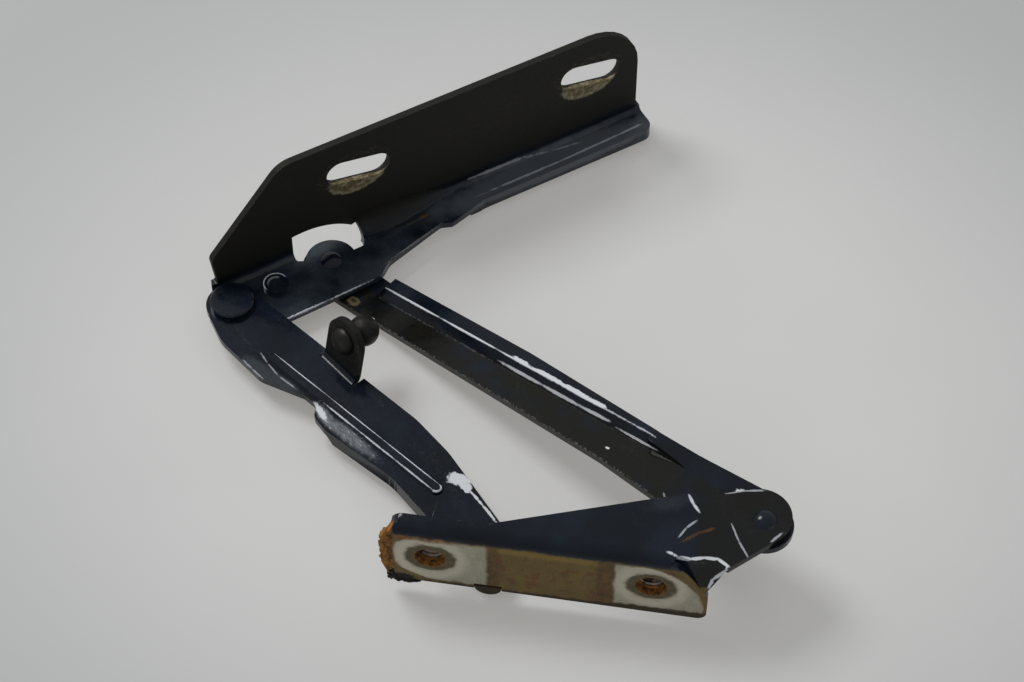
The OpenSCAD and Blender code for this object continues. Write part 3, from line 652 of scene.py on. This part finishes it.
def link_paint():
    """Link: painted highlight lines along the ledge, its slope and its edges, partly chipped white, with white
    chips and a pale mark by the eye.
    """
    paint = Paint("worn_paint_and_highlights_link", wear=0.45, olive=link_floor)
    g = paint.g
    # Painted highlight along the ledge's crest, partly chipped white; the flakes are chips.
    crest = link_run(3.2, LEDGE_TOP, 28.0, 60.0, 92.0, 122.0, 148.0)
    paint.lay_marks([g.line(crest, 0.46, ragged=0.3, grain_mm=2.2)])
    flakes = ((104.0, 5.0), (118.0, 9.0), (133.0, 9.0), (144.0, 5.0))
    paint.lay_marks([g.spot(link_at(u, 3.9, LEDGE_TOP), (reach, 1.0, 1.5), LINK.yaw, LINK_PITCH,
                        ragged=0.7, grain_mm=2.6) for u, reach in flakes])
    crest_end = link_run(3.4, LEDGE_TOP, 148.0, 160.0, 176.0)
    paint.lay_marks([g.line(crest_end, 0.4, ragged=1.1)], CREST_END_HIGHLIGHT)
    # Painted highlight lines along the ledge's slope and its foot.
    slope = link_path((96.0, 0.9, 1.6), (118.0, 0.9, 1.6), (138.0, 0.9, 1.6), (152.0, 1.2, 2.0))
    paint.lay_marks([g.line(slope, 0.55, ragged=0.45, grain_mm=1.8)])
    paint.lay_marks([g.line(link_run(0.6, 1.2, 158.0, 176.0), 0.42, ragged=0.5)])
    slope_foot = link_run(0.1, 0.6, 30.0, 60.0, 92.0)
    paint.lay_marks([g.line(slope_foot, 0.32, ragged=1.0)], SLOPE_FOOT_HIGHLIGHT)
    # Painted highlight, dotted, along the link's near edge.
    near_edge = link_path((30.0, -11.2), (80.0, -12.4), (130.0, -13.9), (161.0, -14.9), (186.0, -17.3))
    edge_highlight = g.line(near_edge, 0.8, ragged=1.0, grain_mm=0.9)
    dots = g.ramp(g.noise(1.3, 3.0, 0.7), 0.50, 0.60)
    paint.layer(g.times(edge_highlight, dots, 0.9), LINK_EDGE_HIGHLIGHT, 0.5)
    # Painted highlight lines at the link's bend and at the crest's end.
    paint.lay_marks([g.line(link_path((193.0, -14.5), (196.5, -17.5)), 0.45),
                 g.line(link_path((181.0, 4.4), (188.0, 4.0)), 0.5)], LINK_END_HIGHLIGHT)
    paint.lay_marks([g.spot(link_at(216.0, 5.5), (2.6, 1.8, 2.0), LINK.yaw, ragged=0.8),
                 g.spot(link_at(160.0, -9.0), (1.0, 0.5, 1.0), LINK.yaw),
                 g.spot(link_at(33.5, -10.6), (1.2, 0.8, 1.0), LINK.yaw)])
    pale_mark = g.spot((-99.2, 133.8, EYE_TOP), (2.7, 2.2, 2.0), LINK.yaw, ragged=0.5)
    paint.lay_marks([pale_mark], CREAM, 0.7, 0.9)
    dark_middle = g.spot((-99.2, 134.2, EYE_TOP), (1.2, 0.9, 1.5), LINK.yaw, ragged=0.5)
    paint.lay_marks([dark_middle], GRIME, 0.7)
    return paint.finish(SPECULAR_SHEET)


def past_nose(g):
    """Mask of the base's web to the right of its fold."""
    return g.times(g.ramp(g.axis(0), 54.0, 62.0), 0.8)


def from_hole(g, side, size=(1.0, DEEP, 1.0)):
    """Distance from the axis of one bolt hole, in units of size."""
    return g.length(g.place((side * HALF_SPACING, 0.0, 0.0), size))


def mounting_face(paint):
    """Brown face with two bare pads, dark rings round the holes, grime and rust."""
    g = paint.g
    x, z = g.ragged(g.axis(0), 1.6, 5.0), g.ragged(g.axis(2), 1.6, 5.0)
    face = g.times(g.fade(g.axis(1), 0.30, 0.75), g.fade(z, 12.6, 14.0))
    brown = g.mix(g.ramp(g.noise(9.0, 4.0, 0.6), 0.35, 0.65), MIDDLE, GOLD)
    brown = g.mix(0.6, brown, MIDDLE)
    stains = g.ramp(g.noise(6.0, 4.0, 0.65), 0.50, 0.64)
    brown = g.mix(g.times(stains, 0.75), brown, STAIN)
    grains = g.ramp(g.noise(0.9, 4.0, 0.7), 0.35, 0.70)
    paint.layer(face, g.mix(g.times(grains, 0.35), brown, GRIME), 0.75, depth=0.2)
    gold_line = g.times(face, g.band(z, 9.5, 13.0, 1.2), g.band(x, -24.0, 24.0, 6.0))
    paint.layer(g.times(gold_line, 0.7), GOLD, 0.75, depth=0.0)
    bare = g.mix(0.40, PAD, mottled(g, PAD, PAD_PALE, 5.0))
    bare = g.mix(g.times(grains, 0.30), bare, RING_OLIVE)
    for side, span, centre, size in PADS:
        outline = g.fade(g.ragged(g.length(g.place(centre, size)), 0.05, 5.0), 0.96, 1.02)
        pad = g.times(face, g.band(x, *span, 0.8), g.band(z, -14.9, 12.4, 1.0), outline)
        paint.layer(pad, bare, 0.5, 0.25, 0.1)
        halo = g.band(g.ragged(from_hole(g, side), 3.0, 5.0), 9.5, 14.5, 2.2)
        paint.layer(g.times(face, pad, halo, 0.9), PAD_PALE, 0.5, 0.2, 0.0)
        ring = g.fade(g.ragged(from_hole(g, side, (10.2, DEEP, 8.6)), 0.16, 4.0), 0.90, 1.10)
        paint.layer(g.times(face, ring), mottled(g, RING_OLIVE, RING_DARK, 2.5), 0.7, depth=0.2)
    # Darker, browner bands beside the pads' inner sides.
    pad_side_bands = g.any_of([g.band(x, -20.9, -16.0, 1.5), g.band(x, 22.0, 28.6, 1.2)])
    paint.layer(g.times(face, pad_side_bands, 0.55), mottled(g, GRIME, STAIN, 3.0), 0.8, depth=0.0)
    left_end = g.times(g.fade(x, -58.4, -56.6), g.fade(g.axis(1), 3.0, 5.5))
    upper_left = g.times(face, g.band(z, 11.0, 13.6, 1.0), g.fade(x, -40.0, -28.0), 0.8)
    rusted = g.any_of([left_end, upper_left])
    paint.layer(rusted, mottled(g, RUST_DARK, RUST_BRIGHT, 3.0), 0.85, depth=-0.3)
    lower_right = g.times(g.ramp(x, 26.0, 32.0), g.fade(z, -15.4, -13.8))
    lower = g.any_of([g.fade(z, -16.6, -15.2), lower_right])
    paint.layer(g.times(face, lower, 0.9), GRIME, 0.7, depth=0.0)
    burnt = g.spot((-55.6, 0.0, -16.4), (6.5, 2.0, 3.0), ragged=0.5, grain_mm=3.0)
    paint.layer(burnt, BURNT, 0.7, depth=0.3)
    bores = g.any_of([g.fade(from_hole(g, side), 6.1, 6.4) for side in (-1, 1)])
    paint.layer(bores, mottled(g, RUST_DARK, RUST_BRIGHT, 1.6), 0.8, depth=0.0)


def base_paint():
    """Base bracket: bare and rusty mounting face, painted highlight lines and a painted sheen on the painted web
    and boss.
    """
    paint = Paint("worn_base_and_highlights", wear=0.3, olive=past_nose)
    mounting_face(paint)
    g = paint.g
    # Painted highlight lines where the web curls into the flange, and on the joggle.
    curl = path((48.4, 4.7, 18.4), (51.7, 4.0, 16.4), (56.9, 4.2, 16.4), (62.0, 6.2, 15.5),
                (67.1, 7.0, 14.5), (71.1, 4.5, 14.5), (70.6, 3.2, 12.9), (66.0, 1.8, 7.8),
                (64.8, 0.6, 3.5))
    tick = flat_path(BASE_TOP, (53.2, 31.3), (55.2, 27.7), (57.6, 24.9))
    paint.lay_marks([g.line(curl[:6], 0.7, ragged=0.3), g.line(curl[5:], 0.55, ragged=0.6),
                 g.line(tick, 0.6, ragged=0.4)])
    # Painted highlight lines along the joggle and the boss's edges.
    web_line = path((51.6, 12.6, BASE_TOP), (53.8, 16.8, BASE_TOP), (57.1, 20.6, 18.1))
    boss_line = path((70.7, 23.1, 14.7), (74.1, 16.2, BOSS_TOP), (78.0, 9.9, BOSS_TOP))
    boss_right = flat_path(BOSS_TOP, (86.5, 18.1), (89.8, 22.1))
    boss_back = flat_path(BOSS_TOP, (67.1, 37.4), (74.0, 39.6), (81.7, 40.9))
    paint.lay_marks([g.line(web_line, 0.42, ragged=0.6), g.line(boss_line, 0.42, ragged=0.6),
                 g.line(boss_right, 0.5, ragged=0.6), g.line(boss_back, 0.4, ragged=0.8)], BASE_HIGHLIGHT_LINE, 0.4)
    # Painted sheen patch on the base's web.
    sheen_patch = g.spot((46.0, 27.0, BASE_TOP), (8.0, 3.0, 2.0), 0.35, ragged=0.7, edge=0.7, grain_mm=3.0)
    paint.layer(g.times(sheen_patch, 0.35), PAINTED_SHEEN, 0.45)
    rust_streak = path((53.9, 11.5, 17.9), (58.7, 16.0, 17.3), (63.7, 18.9, 16.5))
    paint.lay_marks([g.line(rust_streak, 0.6, ragged=1.0)], RUST_STREAK, 0.8)
    return paint.finish(SPECULAR_SHEET)


def rivet_paint():
    """Rivets: the same paint, with a painted highlight arc on the two heads of the link."""
    paint = Paint("worn_paint_and_highlights_rivet", wear=0.45)
    back = math.radians(115.0)
    # Painted highlight arcs on the back rims of the two heads.
    for at, radius in ((pivot("link_swing"), 3.4), (EYE, 3.0)):
        paint.lay_marks([paint.g.arc((at.x, at.y, 0.0), radius, 0.30, back, 0.9)], RIVET_HIGHLIGHT)
    return paint.finish(SPECULAR_BONNET)


def greasy_steel():
    """Dull greasy steel of the ball stud, with brown grime."""
    g = Graph("greasy_steel")
    grime = g.noise(2.6, 5.0, 0.65)
    colour = g.mix(g.ramp(grime, 0.40, 0.65), GREASE, GREASE_DARK)
    edge = g.ramp(g.edges(0.7), 0.05, 0.16)
    colour = g.mix(g.times(edge, 0.5), colour, GREASE_EDGE)
    rough = g.blend(g.ramp(grime, 0.35, 0.70), 0.38, 0.62)
    return g.finish(colour, rough, 0.3, g.bump(grime, 0.5, 0.3), 0.4)


def rusty_steel(name, dark, bright):
    """Crusted rust, darker in its pits."""
    g = Graph(name)
    crust = g.noise(4.2, 4.0, 0.55)
    colour = g.mix(g.ramp(crust, 0.34, 0.62), dark, bright)
    return g.finish(colour, 0.85, 0.0, g.bump(crust, 0.5, 0.35), 0.3)


def smooth_shading():
    """Modifier group that shades every face smoothly, so that the rounded edges catch the light."""
    group = bpy.data.node_groups.new("smooth_shading", "GeometryNodeTree")
    group.interface.new_socket("Geometry", in_out="INPUT", socket_type="NodeSocketGeometry")
    group.interface.new_socket("Geometry", in_out="OUTPUT", socket_type="NodeSocketGeometry")
    last = group.nodes.new("NodeGroupInput").outputs[0]
    for domain in ("FACE", "EDGE"):
        smooth = group.nodes.new("GeometryNodeSetShadeSmooth")
        smooth.domain = domain
        group.links.new(last, smooth.inputs["Geometry"])
        last = smooth.outputs[0]
    group.links.new(last, group.nodes.new("NodeGroupOutput").inputs[0])
    return group


SMOOTH_SHADING = smooth_shading()
WELD_M = 1e-6
ROUNDED_ANGLE = math.radians(35.0)


def dress(node_name, material, edge_mm=0.45):
    """Gives a node one material, and rounds its pressed edges."""
    node = NODES[node_name]
    node.data.materials.clear()
    node.data.materials.append(material)
    weld = node.modifiers.new("weld", "WELD")
    weld.merge_threshold = WELD_M
    shade = node.modifiers.new("smooth", "NODES")
    shade.node_group = SMOOTH_SHADING
    bevel = node.modifiers.new("round_edges", "BEVEL")
    bevel.width = edge_mm * MM
    bevel.segments = 2
    bevel.limit_method = "ANGLE"
    bevel.angle_limit = ROUNDED_ANGLE
    normals = node.modifiers.new("flat_faces", "WEIGHTED_NORMAL")
    normals.keep_sharp = False


def mesh_piece(name, bm, material, body):
    """Makes an object from a bmesh, and sets it on a body."""
    mesh = bpy.data.meshes.new(name)
    bm.normal_update()
    bm.to_mesh(mesh)
    bm.free()
    piece = bpy.data.objects.new(name, mesh)
    bpy.context.scene.collection.objects.link(piece)
    mesh.materials.append(material)
    for face in mesh.polygons:
        face.use_smooth = True
    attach(piece, body)


def skin(bm, rings):
    """Closed skin over a row of rings, whose points are in metres."""
    rows = [[bm.verts.new(at) for at in ring] for ring in rings]
    for low, high in zip(rows, rows[1:]):
        for k in range(len(low)):
            after = (k + 1) % len(low)
            bm.faces.new((low[k], low[after], high[after], high[k]))
    bm.faces.new(rows[0][::-1])
    bm.faces.new(rows[-1])
    bmesh.ops.recalc_face_normals(bm, faces=bm.faces)


def nut_threads():
    """Coarse thread turns inside the weld nuts' bores."""
    steps, pitch, start, end = 28, 1.5, 3.4, 10.6
    outer, inner = 5.05, 4.45
    profile = ((outer, -0.6), (inner, -0.12), (inner, 0.12), (outer, 0.6))
    count = int((end - start) / pitch * steps) + 1
    bm = bmesh.new()
    for side in (-1, 1):
        rings = []
        for k in range(count):
            angle = 2 * math.pi * k / steps
            y = start + pitch * k / steps
            rings.append([Vector((side * HALF_SPACING + radius * math.cos(angle), y + shift,
                                  radius * math.sin(angle))) * MM for radius, shift in profile])
        skin(bm, rings)
    steel = rusty_steel("thread_steel", THREAD_DARK, THREAD_BRIGHT)
    mesh_piece("nut_threads", bm, steel, "base")


def peened_head(steel):
    """Hammered head of the ball stud, on the near side of the arm's tab."""
    ball = next(mount for mount in MOUNTS if mount["name"] == "strut_ball")
    axis = Vector(ball["axis"]).normalized()
    centre = Vector(ball["pos_m"])
    near = min(vert.co.dot(axis) for vert in NODES["ball_stud"].data.vertices)
    foot = centre + (near - centre.dot(axis)) * axis
    turn = axis.to_track_quat("-Z", "Y")
    profile = ((5.9, -0.4), (6.1, 0.3), (5.9, 1.2), (5.0, 2.3), (3.6, 3.1), (1.9, 3.5))
    steps, dents = 36, 0.05
    rings = []
    for radius, height in profile:
        ring = []
        for k in range(steps):
            angle = 2 * math.pi * k / steps
            x, y = math.cos(angle), math.sin(angle)
            reach = radius * (1.0 + dents * noise.noise(Vector((2.0 * x, 2.0 * y, height))))
            ring.append(foot + turn @ (Vector((reach * x, reach * y, height)) * MM))
        rings.append(ring)
    bm = bmesh.new()
    skin(bm, rings)
    mesh_piece("stud_head", bm, steel, "arm")


def lump(bm, at, size, seed, rough):
    """One ragged lump of metal or rust."""
    made = bmesh.ops.create_icosphere(bm, subdivisions=3, radius=1.0)
    for vert in made["verts"]:
        swell = 1.0 + rough * noise.noise(vert.co * 1.7 + Vector((seed, 2.0 * seed, 0.0)))
        swell += 0.4 * rough * noise.noise(vert.co * 4.3 + Vector((0.0, seed, seed)))
        vert.co = (Vector(at) + Vector(size) * swell * vert.co) * MM


def rust_lumps():
    """Flaking rust that swells from the base flange's left end."""
    lumps = (((-61.0, 1.6, 9.0), (1.8, 1.7, 3.0)), ((-61.6, 1.4, 4.6), (1.6, 1.6, 2.4)),
             ((-61.2, 1.7, -0.6), (1.9, 1.7, 3.2)), ((-61.4, 1.5, -5.2), (1.7, 1.5, 2.2)),
             ((-59.6, 1.5, 12.6), (2.2, 1.6, 1.9)), ((-60.4, 1.6, -9.2), (1.3, 1.5, 1.8)))
    bm = bmesh.new()
    for index, (at, size) in enumerate(lumps):
        lump(bm, at, size, 3.1 * index + 1.0, 0.45)
    rust = rusty_steel("flaking_rust", FLAKE_DARK, FLAKE_BRIGHT)
    mesh_piece("rust_lumps", bm, rust, "base")


def torn_burr():
    """Dark torn burr under the base flange's left end."""
    lumps = (((-58.4, 1.0, -12.8), (1.7, 1.7, 2.0)), ((-58.2, 0.8, -16.0), (2.0, 1.6, 2.2)),
             ((-55.6, 0.9, -18.2), (2.3, 1.5, 1.8)), ((-52.2, 1.0, -18.9), (2.3, 1.4, 1.3)),
             ((-59.4, 1.0, -18.0), (0.9, 0.9, 1.7)), ((-49.0, 1.1, -18.8), (1.8, 1.2, 0.8)))
    bm = bmesh.new()
    for index, (at, size) in enumerate(lumps):
        lump(bm, at, size, 1.7 * index + 5.0, 0.55)
    burnt = rusty_steel("burnt_edge", BURR_DARK, BURR_BRIGHT)
    mesh_piece("torn_burr", bm, burnt, "base")


def floor():
    """Pale floor just under the lowest point of the hinge, with a share of plain paper white, and a painted pool
    of light: paler under the hinge than far from it.
    """
    level = cad_box[0][2] - FLOOR_DROP_M
    bpy.ops.mesh.primitive_plane_add(size=FLOOR_SIZE_M, location=(0.0, 0.0, level))
    plane = bpy.context.object
    plane.name = "floor"
    g = Graph("pale_floor")
    # Painted pool of light: the floor and its glowing share fade from pale under the hinge to dimmer far from it.
    away = g.ramp(g.length(g.place(FLOOR_MIDDLE, FLOOR_STRETCH)), *FLOOR_FADE)
    colour = g.mix(g.ramp(g.noise(60.0, 2.0), 0.3, 0.7), FLOOR_DIM, FLOOR_PALE)
    g.put(g.shader.inputs["Base Color"], g.mix(away, colour, FLOOR_FAR))
    g.shader.inputs["Roughness"].default_value = 0.9
    g.shader.inputs["Specular IOR Level"].default_value = 0.2
    rays = g.add("ShaderNodeLightPath").outputs
    seen = g.any_of([rays["Is Camera Ray"], rays["Is Glossy Ray"], rays["Is Transmission Ray"]])
    paper = g.add("ShaderNodeEmission")
    g.put(paper.inputs["Color"], g.mix(away, PAPER_NEAR, PAPER_FAR))
    both = g.add("ShaderNodeMixShader")
    g.put(both.inputs[0], g.times(seen, PAPER_SHARE))
    g.put(both.inputs[1], g.shader.outputs[0])
    g.put(both.inputs[2], paper.outputs[0])
    g.put(g.tree.nodes["Material Output"].inputs["Surface"], both.outputs[0])
    plane.data.materials.append(g.material)


def window_light():
    """The one lamp, square and soft."""
    light = bpy.data.lights.new("window_light", "AREA")
    light.shape = "RECTANGLE"
    light.size = light.size_y = WINDOW_SIZE
    light.energy = WINDOW_POWER
    light.color = WINDOW_COLOUR
    lamp = bpy.data.objects.new("window_light", light)
    lamp.location = WINDOW_AT
    lamp.rotation_euler = (WINDOW_AIM - WINDOW_AT).to_track_quat("-Z", "Y").to_euler()
    bpy.context.scene.collection.objects.link(lamp)


def soft_room():
    """World that is brighter above and behind the hinge than in front of it."""
    world = bpy.data.worlds.new("soft_room")
    bpy.context.scene.world = world
    world.use_nodes = True
    tree = world.node_tree
    facing = tree.nodes.new("ShaderNodeVectorMath")
    facing.operation = "DOT_PRODUCT"
    tree.links.new(tree.nodes.new("ShaderNodeTexCoord").outputs["Generated"], facing.inputs[0])
    facing.inputs[1].default_value = ROOM_BRIGHT_SIDE
    strength = tree.nodes.new("ShaderNodeMapRange")
    tree.links.new(facing.outputs["Value"], strength.inputs[0])
    for socket, value in zip(strength.inputs[1:], (*ROOM_FACING, *ROOM_STRENGTH)):
        socket.default_value = value
    background = tree.nodes["Background"]
    background.inputs["Color"].default_value = ROOM_COLOUR
    tree.links.new(strength.outputs[0], background.inputs["Strength"])


def camera():
    """The photograph's camera."""
    az, el = CAMERA_AZIMUTH, CAMERA_ELEVATION
    right = Vector((math.cos(az), math.sin(az), 0.0))
    back = Vector((math.sin(az) * math.cos(el), -math.cos(az) * math.cos(el), math.sin(el)))
    up = back.cross(right)
    data = bpy.data.cameras.new("camera")
    data.sensor_width = SENSOR_MM
    data.lens = FOCAL_PX / IMAGE_WIDTH_PX * SENSOR_MM
    data.clip_start = CAMERA_NEAR_M
    cam = bpy.data.objects.new("camera", data)
    cam.matrix_world = Matrix.Translation(CAMERA_AT) @ Matrix((right, up, back)).transposed().to_4x4()
    bpy.context.scene.collection.objects.link(cam)
    bpy.context.scene.camera = cam


# Finishes of the solids
dress("bonnet_bracket", bonnet_paint())
dress("arm", arm_paint())
dress("link", link_paint())
dress("base_bracket", base_paint())
stud_steel = greasy_steel()
dress("ball_stud", stud_steel, 0.3)
painted_rivet = rivet_paint()
for rivet in ("rivet_base_arm", "rivet_base_link", "rivet_arm_bonnet", "rivet_link_bonnet"):
    dress(rivet, painted_rivet, 0.5)
dress("weld_nuts", rusty_steel("rusted_nut", RUST_DARK, RUST_BRIGHT), 0.4)

# Small pieces that only the scene has
peened_head(stud_steel)
nut_threads()
rust_lumps()
torn_burr()

# Floor, light and camera
floor()
window_light()
soft_room()
camera()
bpy.context.scene.view_settings.view_transform = "Standard"
